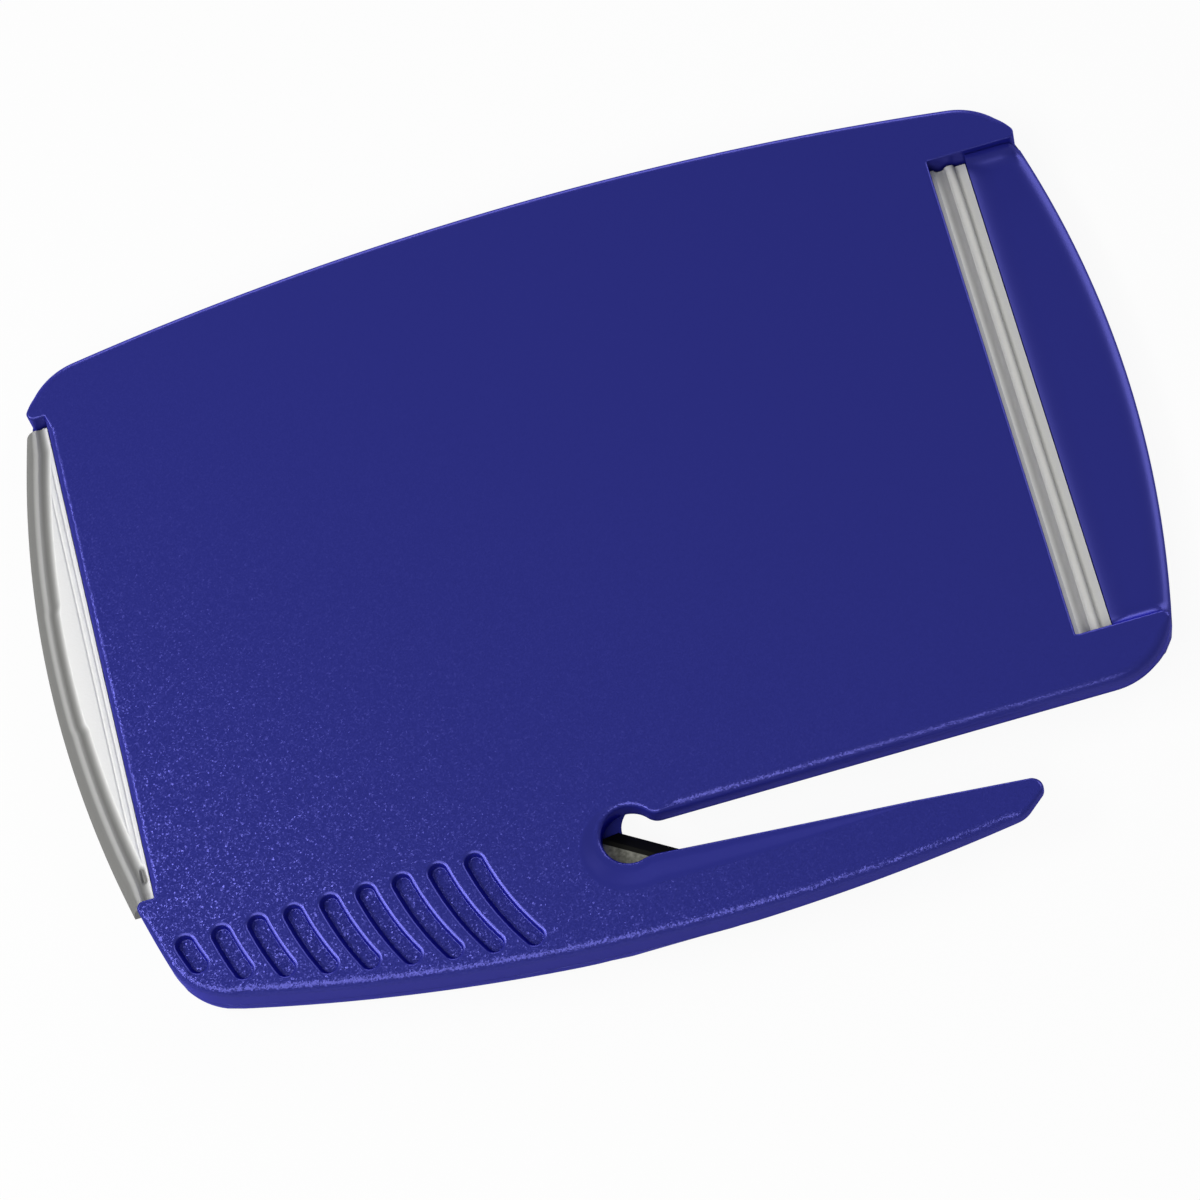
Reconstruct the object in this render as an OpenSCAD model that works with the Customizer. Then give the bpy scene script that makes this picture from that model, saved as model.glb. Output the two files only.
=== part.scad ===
// Card-size letter slitter with a slide-out business card tray.
// Two moulded shells clamp a small steel blade in the eye of a slitting arm,
// and a frosted tray slides between them, out of the front end.
// Origin: middle of the body, on the face it rests on. +X runs to the thumb recess,
// +Y away from the slitting arm, +Z to the upper face. Millimetres.

/* [Card] */
// Length of the card that the tray holds
card_length = 88.9; // [85:0.1:91]
// Width of the card that the tray holds
card_width = 50.8; // [48:0.1:55]
// Height of the stack of cards
card_stack = 1.8; // [1.5:0.1:2.6]
// Play between the card and the side walls of its pocket
card_side_play = 0.5; // [0.3:0.05:0.8]
// Play between the card and each end of the tray
card_end_play = 0.3; // [0.2:0.05:0.6]
// How much shorter than the card the roof is
card_show = 0.5; // [0.2:0.1:1]

/* [Body] */
// From the front edge of the roof to the crown of the front end
front_margin = 5.05; // [4.4:0.05:7]
// From the back edge of the roof to the crown of the thumb end
thumb_margin = 12.15; // [10:0.05:16]
// From the pocket to the crown of the back side
back_margin = 8.45; // [7:0.05:12]
// From the pocket to the straight side along the slot
slot_margin = 5.7; // [5:0.05:8]
// Radius of both end arcs
end_radius = 110; // [90:1:160]
// Radius of the back side
back_radius = 290; // [220:5:500]
// Radius of the corners
corner_radius = 7; // [5:0.1:9]
// Thickness of the roof over the cards
roof = 1.6; // [1.3:0.05:2]
// Thickness of the floor under the tray
floor_wall = 1.2; // [0.9:0.05:1.8]
// Height of the plane where the two shells meet
parting = 2.6; // [2.3:0.05:2.9]
// Rounding of the upper edges
upper_round = 0.9; // [0.5:0.05:1.2]
// Rounding of the lower edges
lower_round = 2; // [1:0.05:2.2]

/* [Thumb recess] */
// Depth of the recess floor below the upper face, beside the tray
recess_depth = 1.7; // [1.6:0.05:2.2]
// How much further the floor falls away from the tray
recess_fall = 0.45; // [0.1:0.05:0.6]
// Width of the sloping part of the floor
recess_slope = 2; // [1:0.1:4]
// Rounding of the outer edge of the recess floor
recess_round = 1; // [0.4:0.05:1.1]

/* [Slitting arm] */
// From the side along the slot to the crown of the grip
grip_depth = 11.8; // [11:0.1:14]
// Radius of the outer edge of the grip and the arm
grip_radius = 210; // [170:5:260]
// Place of that edge's crown along the card, from the card's middle
grip_crown = 9; // [4:0.5:12]
// Radius of the grip's outer corner
grip_corner = 4.5; // [3:0.1:6]
// Place of the eye along the card, from the card's middle
eye_place = -0.3; // [-6:0.1:3]
// Radius of the eye
eye_radius = 2.65; // [2.4:0.05:3]
// How far the eye's centre lies outside the side along the slot
eye_offset = 1.1; // [0.9:0.05:1.5]
// Rounding of the eye's upper rim
eye_round = 0.45; // [0.2:0.05:0.6]
// Width of the slot beside the eye
slot_width = 3.3; // [3:0.05:4]
// Angle by which the slot opens towards the arm's tip
slot_flare = 5.4; // [4:0.1:7]
// Length of the arm from the eye's centre
arm_length = 37.7; // [30:0.1:42]
// From the eye to the end of the lower shell under the arm
root_length = 9.3; // [8.6:0.1:11]
// Thickness of the arm's tip
tip_thickness = 1.1; // [1:0.05:1.8]
// Radius of the arm's tip
tip_radius = 1; // [0.95:0.05:1.5]
// Angle of the slanted end of the arm
tip_slant = 40; // [30:1:50]
// Depth of the scoop along the arm, below the upper face
scoop_depth = 0.9; // [0.4:0.05:1.2]
// Width of the scoop along the arm
scoop_width = 2.9; // [2:0.1:3.2]
// From the eye to the widest part of the scoop
scoop_place = 12.5; // [11:0.5:14]
// Angle of the relief under the slot's body side
relief_angle = 28; // [20:1:35]
// Height of the slot's upright body side, below the upper face
relief_depth = 2.1; // [1.8:0.05:2.4]

/* [Finger grooves] */
// Number of grooves
groove_count = 9; // [5:1:9]
// Spacing of the grooves
groove_pitch = 3.46; // [3:0.02:3.8]
// Width of a groove
groove_width = 1.75; // [1.2:0.05:2]
// Depth of a groove
groove_depth = 0.9; // [0.4:0.05:1.1]
// Radius of a groove's curve
groove_radius = 28; // [24:1:40]
// Lean of a groove at its upper end
groove_lean = 13.4; // [8:0.1:20]
// From the eye to the upper end of the nearest groove
groove_start = 14.4; // [13:0.1:18]
// How far the grooves' upper ends reach past the side along the slot
groove_rise = 1.3; // [0.6:0.1:2]
// Distance of the grooves' lower ends from the outer edge
groove_land = 2.7; // [2.2:0.05:4]

/* [Blade] */
// Length of the cutting edge
blade_length = 10; // [9:0.1:11]
// Width of the blade
blade_width = 5; // [4.5:0.1:5.4]
// Thickness of the blade
blade_thickness = 0.4; // [0.25:0.05:0.5]
// Angle of the cutting edge across the slot
blade_angle = 32.6; // [28:0.2:38]
// Width of the ground edge
blade_grind = 1.1; // [0.6:0.05:1.4]
// How far the cutting edge lies before the eye's centre
blade_reach = 0.7; // [0.5:0.05:1]
// How far the cutting edge starts before the eye's centre, along the edge
blade_lead = 1.6; // [1.4:0.1:2]
// Distance of the blade's pins from its back
blade_pin_inset = 1.5; // [1.3:0.05:1.7]
// Radius of the pins that hold the blade
blade_pin = 0.7; // [0.5:0.05:0.8]

/* [Tray] */
// Thickness of the tray's floor
tray_floor = 0.8; // [0.6:0.05:1]
// Running gap above and below the tray
tray_gap = 0.1; // [0.08:0.01:0.15]
// Running gap at the sides and ends of the tray
tray_side_gap = 0.2; // [0.12:0.01:0.3]
// Thickness of the lips that hold the cards down
tray_lip = 0.6; // [0.4:0.05:0.8]
// Length of the rear bar in the recess
bar_width = 3.45; // [3:0.05:4]
// How far the tray's front stands out of the body
front_proud = 0.65; // [0.2:0.05:1]
// Width of the rounded nose of the tray's front
nose_width = 2.9; // [2:0.1:3.2]
// Length of the fingernail ledge
ledge_length = 13; // [8:0.5:20]
// Travel of the tray
tray_travel = 62; // [40:1:66]
// Radius of the boss that stops the tray
stop_radius = 1.3; // [0.9:0.05:1.8]

/* [Assembly] */
// Radius of the pins that join the shells
join_pin = 1; // [0.7:0.05:1.1]
// From the pocket's walls to the middle of those pins
join_wall = 2.4; // [2:0.05:2.8]
// Distance of the pins from the corners of the body
join_step = 7; // [5:0.5:9]
// Length of those pins
join_length = 1.2; // [0.8:0.05:1.25]
// Clearance round every pin
pin_clearance = 0.05; // [0.03:0.01:0.1]

/* [Hidden] */
$fn = 64;
// How far a cut runs past what it cuts
over = 1;
// Least step between two levels of a loft, and least radius that a rounding leaves of a corner
level_step = 0.05;
corner_left = 0.5;

// Heights, built up from the stack between floor and roof
tray_z = floor_wall + tray_gap;
cards_z = tray_z + tray_floor;
tray_top = cards_z + card_stack;
roof_z = tray_top + tray_gap;
top = roof_z + roof;
relief_z = top - relief_depth;
recess_z = top - recess_depth;
recess_flat = recess_z - recess_fall;
recess_edge = min(recess_round, recess_flat - lower_round - level_step);

// Lengths along X: the roof is centred on the card, the origin on the body
roof_length = card_length - card_show;
body_length = roof_length + front_margin + thumb_margin;
card_x = (front_margin - thumb_margin) / 2;
roof_front = card_x - roof_length / 2;
roof_back = card_x + roof_length / 2;
bar_back = roof_back + bar_width;
recess_front = bar_back + tray_side_gap;
cards_front = card_x - card_length / 2 - card_end_play;
cards_back = card_x + card_length / 2 + card_end_play;
eye_x = card_x + eye_place;

// Widths along Y
pocket_half = card_width / 2 + card_side_play;
tray_half = pocket_half - tray_side_gap;
recess_half = pocket_half - tray_side_gap / 2;
back_y = pocket_half + back_margin;
slot_y = -pocket_half - slot_margin;
grip_y = slot_y - grip_depth;
eye_y = slot_y - eye_offset;

// Centres of the long arcs of the outline
thumb_c = [body_length / 2 - end_radius, 0];
front_c = [end_radius - body_length / 2, 0];
back_c = [0, back_y - back_radius];
grip_c = [card_x + grip_crown, grip_y + grip_radius];

function dir(a) = [cos(a), sin(a)];
function heading(v) = atan2(v[1], v[0]);
function turn_up(a) = a < 0 ? a + 360 : a;

// Where circles about a and b cross, on the left of the way from a to b
function cross_circles(a, ra, b, rb) =
    let (d = norm(b - a), along = (d * d + ra * ra - rb * rb) / (2 * d), u = (b - a) / d)
    a + along * u + sqrt(ra * ra - along * along) * [-u[1], u[0]];

// Where a circle meets the ray from p along the unit vector u
function ray_to_circle(p, u, c, r) =
    let (m = p - c, b = m * u)
    p + (-b + sqrt(b * b - m * m + r * r)) * u;

// An outline is a list of arcs [centre, radius, first angle, last angle, steps] run
// anticlockwise. A hollow arc has a negative radius and the angles of its outward normals.
function ring(arcs, inset) = [
    for (a = arcs)
        for (i = [0:a[4]])
            a[0] + (a[1] - inset) * dir(a[2] + (a[3] - a[2]) * i / a[4])
];

// Number of an outline's points, of those before its arc k, and of the middle one of that arc
function points_before(arcs, k) = k == 0 ? 0 : points_before(arcs, k - 1) + arcs[k - 1][4] + 1;
function points_of(arcs) = points_before(arcs, len(arcs));
function middle_of(arcs, k) = points_before(arcs, k) + floor(arcs[k][4] / 2);
function span(first, last) = [for (i = [first:last]) i];

// Solid through copies of one outline, each given as [inset, height], from the lowest up.
// Its flat ends are made of patches: loops of point numbers, each seen whole from its first point.
module loft(arcs, levels, patches) {
    rings = [for (l = levels) [for (p = ring(arcs, l[0])) [p[0], p[1], l[1]]]];
    n = len(rings[0]);
    last = len(levels) - 1;
    sides = [
        for (k = [0:last - 1])
            for (i = [0:n - 1])
                let (j = (i + 1) % n)
                [k * n + i, (k + 1) * n + i, (k + 1) * n + j, k * n + j]
    ];
    upper_patches = [
        for (p = patches)
            let (m = len(p))
            [for (i = [0:m - 1]) last * n + p[(m - i) % m]]
    ];
    polyhedron([for (r = rings) each r], concat(sides, patches, upper_patches));
}

// Levels of an edge rounded up to a height, and of one rounded from a height
round_steps = 5;
function round_to(high, r) = [
    for (i = [0:round_steps])
        let (a = 90 * i / round_steps)
        [r * (1 - cos(a)), high - r + r * sin(a)]
];
function round_from(low, r) = [
    for (i = [0:round_steps])
        let (a = 90 * i / round_steps)
        [r * (1 - sin(a)), low + r - r * cos(a)]
];

// Corner centres that the two shells share
right_corner = cross_circles(thumb_c, end_radius - corner_radius, back_c, back_radius - corner_radius);
left_corner = [-right_corner[0], right_corner[1]];
front_corner_y = slot_y + corner_radius;
front_corner_x = thumb_c[0] + sqrt(pow(end_radius - corner_radius, 2) - pow(front_corner_y, 2));
front_corner = [front_corner_x, front_corner_y];
grip_left = cross_circles(front_c, end_radius - grip_corner, grip_c, grip_radius - grip_corner);

right_low = heading(front_corner - thumb_c);
right_high = heading(right_corner - thumb_c);
back_right_a = heading(right_corner - back_c);
left_high = turn_up(heading(left_corner - front_c));
left_low = turn_up(heading(grip_left - front_c));
grip_left_a = turn_up(heading(grip_left - grip_c));

// From the slot's side at the thumb end, round the back, to the grip's outer edge
back_arcs = [
    [front_corner, corner_radius, -90, right_low, 8],
    [thumb_c, end_radius, right_low, right_high, 24],
    [right_corner, corner_radius, right_high, back_right_a, 8],
    [back_c, back_radius, back_right_a, 180 - back_right_a, 24],
    [left_corner, corner_radius, 180 - back_right_a, left_high, 8],
    [front_c, end_radius, left_high, left_low, 30],
    [grip_left, grip_corner, left_low, grip_left_a, 8]
];

// Patches of a shell: the body, seen from its front end, and the grip with the arm, seen from its corner
front_arc = 5;
grip_arc = 6;
function shell_patches(arcs) =
    let (front = middle_of(arcs, front_arc),
         grip = middle_of(arcs, grip_arc),
         slot = middle_of(arcs, len(arcs) - 1))
    [
        concat([front], span(slot, points_of(arcs) - 1), span(0, front - 1)),
        concat(span(grip, slot), span(front, grip - 1))
    ];

// The arm: its edge along the slot, its tip and the slanted end
arm_normal = 90 - slot_flare;
arm_edge_y = slot_y - slot_width;
function arm_edge(x) = arm_edge_y - tan(slot_flare) * (x - eye_x);
tip_x = eye_x + arm_length - tip_radius;
tip_c = [tip_x, arm_edge(tip_x)] - tip_radius * dir(arm_normal);
slant_normal = tip_slant - 90;
heel_radius = 2.5;
heel_c = ray_to_circle(
    tip_c + (tip_radius - heel_radius) * dir(slant_normal),
    -[cos(tip_slant), sin(tip_slant)],
    grip_c, grip_radius - heel_radius);
heel_a = turn_up(heading(heel_c - grip_c));

// Radius of the circle centred at x that touches both sides of the slot, and the slot's round end
function slot_half(x) = (slot_y - arm_edge(x)) * cos(slot_flare) / (1 + cos(slot_flare));
slot_end_shift = 1.2;
slot_end_half = slot_half(eye_x + slot_end_shift);
slot_end = [eye_x + slot_end_shift, slot_y - slot_end_half];

upper_outline = concat(back_arcs, [
    [grip_c, grip_radius, grip_left_a, heel_a, 40],
    [heel_c, heel_radius, heel_a, slant_normal + 360, 5],
    [tip_c, tip_radius, slant_normal, arm_normal, 8],
    [slot_end, -slot_end_half, arm_normal, -90, 10]
]);

// The lower shell stops at the arm's root
root_radius = lower_round + corner_left;
root_x = eye_x + root_length;
root_c = [root_x - root_radius,
    grip_c[1] - sqrt(pow(grip_radius - root_radius, 2) - pow(root_x - root_radius - grip_c[0], 2))];
root_a = turn_up(heading(root_c - grip_c));
inner_radius = 1;
lower_outline = concat(back_arcs, [
    [grip_c, grip_radius, grip_left_a, root_a, 30],
    [root_c, root_radius, root_a, 360, 6],
    [[root_x + inner_radius, slot_y - inner_radius], -inner_radius, 0, -90, 4]
]);

// Finger grooves: each is the same curve, moved along by the pitch, and ends inside the grip's edge
groove_y = slot_y + groove_rise;
groove_half = groove_width / 2;
groove_wall = 0.3;
function groove_centre(i) =
    [eye_x - groove_start - i * groove_pitch, groove_y] + groove_radius * dir(groove_lean);
function groove_end(c) =
    let (p = cross_circles(c, groove_radius, grip_c, grip_radius - groove_land),
         side = end_radius - groove_land,
         a = turn_up(heading(p - c)))
    norm(front_c - c) < side - groove_radius ? a :
    let (q = cross_circles(front_c, side, c, groove_radius))
    min(a, turn_up(heading(q - c)));
groove_steps = 10;
end_steps = 8;
far_side = groove_steps + end_steps + 2;
groove_patches = concat(
    [for (i = [0:groove_steps - 1]) let (j = far_side + groove_steps - i) [i, i + 1, j - 1, j]],
    [span(groove_steps, far_side)],
    [concat(span(far_side + groove_steps, far_side + groove_steps + end_steps + 1), [0])]
);
module groove(i) {
    c = groove_centre(i);
    first = 180 + groove_lean;
    last = groove_end(c);
    low = top - groove_depth;
    loft([
        [c, groove_radius + groove_half, first, last, groove_steps],
        [c + groove_radius * dir(last), groove_half, last, last + 180, end_steps],
        [c, groove_half - groove_radius, last + 180, first + 180, groove_steps],
        [c + groove_radius * dir(first), groove_half, first - 180, first, end_steps]
    ], [[groove_wall, low], [0, low + 2 * groove_wall], [0, top + over]], groove_patches);
}

// Blade frame: origin in the eye, +X along the cutting edge, +Y behind it
blade_front = -blade_reach;
blade_left = -blade_lead;
blade_pin_v = blade_front + blade_width - blade_pin_inset;
blade_pin_ends = [-2.2, 4.6];
blade_pins = [for (u = blade_pin_ends) [u, blade_pin_v]];
module at_blade(z) {
    translate([eye_x, eye_y, z]) rotate(180 - blade_angle) mirror([1, 0, 0]) children();
}
module blade_shape(grow) {
    polygon([
        [blade_left - grow, blade_front - grow],
        [blade_left + blade_length + grow, blade_front - grow],
        [blade_left + blade_length + grow, blade_front + blade_width + grow],
        [blade_left - blade_width - grow, blade_front + blade_width + grow]
    ]);
}

// Pins that join the shells: three behind the pocket, two before it and one in the grip
join_row = pocket_half + join_wall;
join_spots = [
    [right_corner[0] - join_step, join_row],
    [0, join_row],
    [left_corner[0] + join_step, join_row],
    [front_corner[0] - join_step, -join_row],
    [left_corner[0] + 3 * join_step, -join_row],
    [left_corner[0] + 2 * join_step, slot_y - join_wall]
];

// Wedge under the slot's body side, which leads the paper in from below
module slot_relief() {
    clear = slot_width / 3;
    depth = tan(relief_angle) * (relief_z + over);
    translate([eye_x, slot_y, relief_z]) rotate([90, 0, 90]) linear_extrude(body_length) polygon([
        [-clear, 0],
        [0, 0],
        [depth, -relief_z - over],
        [-clear, -relief_z - over]
    ]);
}

module top_shell() {
    color("mediumblue") difference() {
        union() {
            loft(upper_outline, concat([[0, parting]], round_to(top, upper_round)),
                shell_patches(upper_outline));
            for (p = join_spots)
                translate([p[0], p[1], parting - join_length])
                    cylinder(r = join_pin, h = join_length + over / 2);
        }
        card_space_above();
        eye();
        arm_scoop();
        arm_underside();
        slot_relief();
        for (i = [0:groove_count - 1])
            groove(i);
        blade_seat();
    }
}

// Pocket under the roof and the two open ends beside it
module card_space_above() {
    long = body_length + 2 * over;
    translate([-long / 2, -pocket_half, 0])
        cube([long, 2 * pocket_half, roof_z]);
    translate([-long / 2, -pocket_half, 0])
        cube([long / 2 + roof_front, 2 * pocket_half, top + over]);
    translate([roof_back, -pocket_half, 0])
        cube([long / 2 - roof_back, 2 * pocket_half, top + over]);
}

// Round eye with a rounded upper rim, which widens below the slot's upright side
module eye() {
    low = parting - over;
    wide = eye_radius + tan(relief_angle) * (relief_z - low);
    translate([eye_x, eye_y, 0]) rotate_extrude() polygon(concat(
        [[0, low], [wide, low], [eye_radius, relief_z]],
        [for (l = round_to(top, eye_round)) [eye_radius + l[0], l[1]]],
        [[eye_radius + eye_round, top + over], [0, top + over]]));
}

// Shallow scoop along the arm's edge: a slice of a wide cone, which runs out towards the tip
// and meets a cone of the same slope round the lower side of the eye
scoop_radius = 60;
scoop_x = eye_x + scoop_place;
scoop_y = arm_edge(scoop_x) - scoop_width + scoop_radius;
rim_crease = scoop_y - sqrt(pow(scoop_radius, 2) - pow(scoop_x - eye_x, 2));
rim_radius = (eye_y + eye_radius + eye_round - rim_crease) / 2;
module arm_scoop() {
    intersection() {
        translate([scoop_x, scoop_y, 0])
            scoop_cone(scoop_radius);
        translate([eye_x, grip_y, top - 2 * scoop_depth])
            cube([arm_length, arm_edge_y + slot_width / 2 - grip_y, 4 * scoop_depth]);
    }
    translate([eye_x - eye_round, rim_crease + rim_radius, 0])
        scoop_cone(rim_radius);
}
module scoop_cone(r) {
    slope = scoop_width / scoop_depth;
    deep = min(scoop_depth, r / slope - level_step);
    translate([0, 0, top - deep])
        cylinder(r1 = r - slope * deep, r2 = r + slope * over, h = deep + over, $fn = 180);
}

// The arm's lower face rises from the root to the tip
module arm_underside() {
    rise = atan2(top - tip_thickness - parting, eye_x + arm_length - root_x);
    translate([root_x, grip_y - over, parting])
        rotate([0, -rise, 0])
            translate([0, 0, -top])
                cube([arm_length, grip_depth + over - slot_width / 2, top]);
}

// Seat of the blade under the upper shell, with the sockets of its pins
module blade_seat() {
    at_blade(parting - over)
        linear_extrude(over + blade_thickness + pin_clearance) blade_shape(pin_clearance);
    at_blade(parting)
        for (p = blade_pins)
            translate(p) cylinder(r = blade_pin + pin_clearance, h = 2 * blade_thickness + pin_clearance);
}

module bottom_shell() {
    color("mediumblue") {
        difference() {
            union() {
                loft(lower_outline, concat(round_from(0, lower_round), round_to(recess_flat, recess_edge)),
                    shell_patches(lower_outline));
                recess_ramp();
            }
            card_space_below();
            above_parting();
            for (p = join_spots)
                translate([p[0], p[1], parting - join_length - 4 * pin_clearance])
                    cylinder(r = join_pin + pin_clearance, h = parting);
            throat();
            root_ramp();
            slot_relief();
        }
        tray_stop();
        at_blade(parting - over / 2)
            for (p = blade_pins)
                translate(p) cylinder(r = blade_pin, h = over / 2 + 2 * blade_thickness);
    }
}

// Pocket above the floor, open at the front end
module card_space_below() {
    long = body_length + 2 * over;
    translate([-long / 2, -pocket_half, floor_wall])
        cube([long / 2 + recess_front, 2 * pocket_half, top]);
}

// Opening below the blade's edge and the eye
throat_radius = 2.4;
throat_lead = 0.65;
throat_y = slot_y + 0.2;
blade_land = 0.4;
module throat() {
    translate([eye_x - throat_lead + throat_radius, throat_y, -over])
        cylinder(
            r1 = throat_radius + tan(relief_angle) * (parting + over),
            r2 = throat_radius,
            h = parting + over);
    intersection() {
        at_blade(-over)
            translate([blade_left + blade_land, blade_front + blade_grind - 2 * grip_depth])
                cube([2 * grip_depth, 2 * grip_depth, top]);
        translate([eye_x - grip_depth, throat_y - grip_depth, -over])
            cube([2 * grip_depth, grip_depth, top]);
    }
}

// Underside of the grip, which rises to a thin edge at the arm's root
ramp_length = 11;
ramp_inset = 0.8;
root_edge = 0.25;
module root_ramp() {
    ramp_x = eye_x - ramp_length;
    rise = atan2(parting - root_edge, root_x - ramp_x);
    translate([ramp_x, grip_y - over, 0])
        rotate([0, -rise, 0])
            translate([0, 0, -top])
                cube([2 * (root_x - ramp_x), grip_depth + over - ramp_inset, top]);
}

// What the upper shell takes: everything above the parting plane but the recess floor
module above_parting() {
    long = body_length + 2 * over;
    wide = back_y - grip_y + 2 * over;
    translate([-long / 2, grip_y - over, parting])
        cube([long / 2 + recess_front, wide, top]);
    translate([0, recess_half, parting])
        cube([long, wide, top]);
    translate([0, -recess_half - wide, parting])
        cube([long, wide, top]);
}

// Slope of the recess floor, falling away from the tray
module recess_ramp() {
    translate([0, recess_half, 0]) rotate([90, 0, 0]) linear_extrude(2 * recess_half) polygon([
        [recess_front, floor_wall],
        [recess_front + recess_slope, floor_wall],
        [recess_front + recess_slope, recess_flat],
        [recess_front, recess_z]
    ]);
}

// Boss on the floor that runs in the tray's long slot
stop_inset = 5;
stop_x = cards_front + stop_inset;
module tray_stop() {
    translate([stop_x, 0, floor_wall / 2])
        cylinder(r = stop_radius, h = cards_z - tray_gap - floor_wall / 2);
}

// Blade, ground from above to a thin edge
blade_edge = 0.06;
module slitter_blade() {
    color("silver") at_blade(parting) difference() {
        linear_extrude(blade_thickness) blade_shape(0);
        for (p = blade_pins)
            translate([p[0], p[1], -over])
                cylinder(r = blade_pin + pin_clearance, h = 3 * over);
        translate([blade_left - 2 * blade_length, blade_front, blade_edge])
            rotate([atan2(blade_thickness - blade_edge, blade_grind), 0, 0])
                translate([0, -blade_width, 0])
                    cube([4 * blade_length, 2 * blade_width, blade_width]);
    }
}

module card_tray() {
    color("gainsboro") difference() {
        union() {
            translate([cards_front - over, -tray_half, tray_z])
                cube([bar_back - cards_front + over, 2 * tray_half, tray_floor]);
            tray_front();
            tray_bar();
        }
        tray_slot();
    }
}

// Slot that the stop boss runs in
module tray_slot() {
    width = stop_radius + tray_side_gap;
    translate([0, 0, tray_z - over]) linear_extrude(tray_floor + 2 * over) {
        translate([stop_x, -width]) square([tray_travel, 2 * width]);
        translate([stop_x, 0]) circle(width);
        translate([stop_x + tray_travel, 0]) circle(width);
    }
}

// Crescent front: a flat top with a shallow fingernail ledge, then a rounded nose along the end arc
ledge_depth = 0.3;
nose_steps = 8;
module tray_front() {
    outer = end_radius + front_proud;
    nose_rise = tray_top - tray_z;
    difference() {
        intersection() {
            translate([front_c[0], front_c[1], 0]) rotate_extrude($fn = 360) polygon(concat(
                [[outer - 2 * front_margin, tray_z]],
                [for (i = [0:nose_steps]) let (a = 90 * i / nose_steps)
                    [outer - nose_width * (1 - cos(a)), tray_z + nose_rise * sin(a)]],
                [[outer - 2 * front_margin, tray_top]]));
            translate([roof_front - 2 * front_margin, -tray_half, tray_z])
                cube([2 * front_margin - tray_side_gap, 2 * tray_half, card_stack + tray_floor]);
        }
        translate([cards_front, -pocket_half, cards_z])
            cube([front_margin, 2 * pocket_half, card_stack - tray_lip]);
        translate([roof_front - front_margin - over, -ledge_length / 2, tray_top - ledge_depth])
            cube([front_margin + over - nose_width, ledge_length, over]);
    }
}

// Rear bar across the recess: a lip that reaches under the roof, a cove, a round bead and a ledge
bead_radius = 0.55;
bead_place = 1.95;
cove_place = 1;
lip_reach = 0.3;
lip_drop = 0.1;
module tray_bar() {
    bead_x = roof_back + bead_place;
    lip_x = roof_back - lip_reach;
    lip_top = tray_top - lip_drop;
    low = tray_top - bead_radius;
    translate([0, tray_half, 0]) rotate([90, 0, 0]) linear_extrude(2 * tray_half) difference() {
        union() {
            polygon([
                [cards_back, tray_z],
                [bar_back, tray_z],
                [bar_back, low],
                [bead_x, low],
                [bead_x, lip_top],
                [lip_x, lip_top],
                [lip_x, tray_top - tray_lip],
                [cards_back, tray_top - tray_lip]
            ]);
            translate([bead_x, low]) circle(bead_radius);
        }
        translate([roof_back + cove_place, lip_top]) circle(bead_radius);
    }
}

top_shell();
bottom_shell();
slitter_blade();
card_tray();
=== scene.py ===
import math

import bmesh
import bpy
import numpy as np
from mathutils import Matrix, Vector
from mathutils.geometry import tessellate_polygon


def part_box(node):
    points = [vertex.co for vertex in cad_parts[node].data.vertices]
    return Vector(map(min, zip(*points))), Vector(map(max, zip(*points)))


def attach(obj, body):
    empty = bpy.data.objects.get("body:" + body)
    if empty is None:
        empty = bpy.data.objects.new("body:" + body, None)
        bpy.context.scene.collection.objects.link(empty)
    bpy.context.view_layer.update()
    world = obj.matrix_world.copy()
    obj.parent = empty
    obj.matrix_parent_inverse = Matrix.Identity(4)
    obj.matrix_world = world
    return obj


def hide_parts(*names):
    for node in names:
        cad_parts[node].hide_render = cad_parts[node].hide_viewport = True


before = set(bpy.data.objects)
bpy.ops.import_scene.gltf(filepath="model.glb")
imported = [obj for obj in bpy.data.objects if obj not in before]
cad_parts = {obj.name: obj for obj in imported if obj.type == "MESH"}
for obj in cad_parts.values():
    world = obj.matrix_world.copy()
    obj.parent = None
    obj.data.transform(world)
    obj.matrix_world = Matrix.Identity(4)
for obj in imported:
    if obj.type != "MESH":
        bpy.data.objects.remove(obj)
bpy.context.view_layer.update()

# Camera: a long lens from above and in front, turned so that the slitter lies aslant in the picture.
# Its place and turns come from the four corners of the roof over the tray.
MM = 0.001
camera_data = bpy.data.cameras.new("photo_camera")
camera_data.sensor_width = 36
camera_data.lens = 165
camera = bpy.data.objects.new("photo_camera", camera_data)
camera_place = Vector((12.86, -228.6, 470.1)) * MM
camera_tilt = math.radians(25.264)
camera_roll = math.radians(-15.297)
camera_yaw = math.radians(1.673)
camera.matrix_world = (
    Matrix.Translation(camera_place)
    @ Matrix.Rotation(camera_yaw, 4, "Y")
    @ Matrix.Rotation(camera_tilt, 4, "X")
    @ Matrix.Rotation(camera_roll, 4, "Z")
)
bpy.context.scene.collection.objects.link(camera)
bpy.context.scene.camera = camera


# Upper shell: one blue ABS moulding with the roof over the tray, the grip with its finger grooves,
# and the slitting arm. Its edges are rounded, and a scoop along the arm leads into the eye.
# It is welded to the lower shell along the parting plane. All lengths are in millimetres.
def node_box(node):
    """Lowest and highest corner of a CAD node, in millimetres."""
    return np.array(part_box(node)) / MM


shell_low, shell_high = node_box("top_shell")
top = shell_high[2]
back_y = shell_high[1]
grip_y = shell_low[1]
parting = node_box("slitter_blade")[0, 2]
end_x = node_box("bottom_shell")[1, 0]

end_radius = 110
back_radius = 290
corner_radius = 7
grip_radius = 210
grip_corner = 7
hold_radius = 195
grip_crown_x = 5.45
slot_y = -31.6
notch_half = 25.9
roof_front = -47.75
roof_back = 40.65
roof_z = 4.0
ear_radius = 0.7
hollow_radius = 0.15

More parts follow.
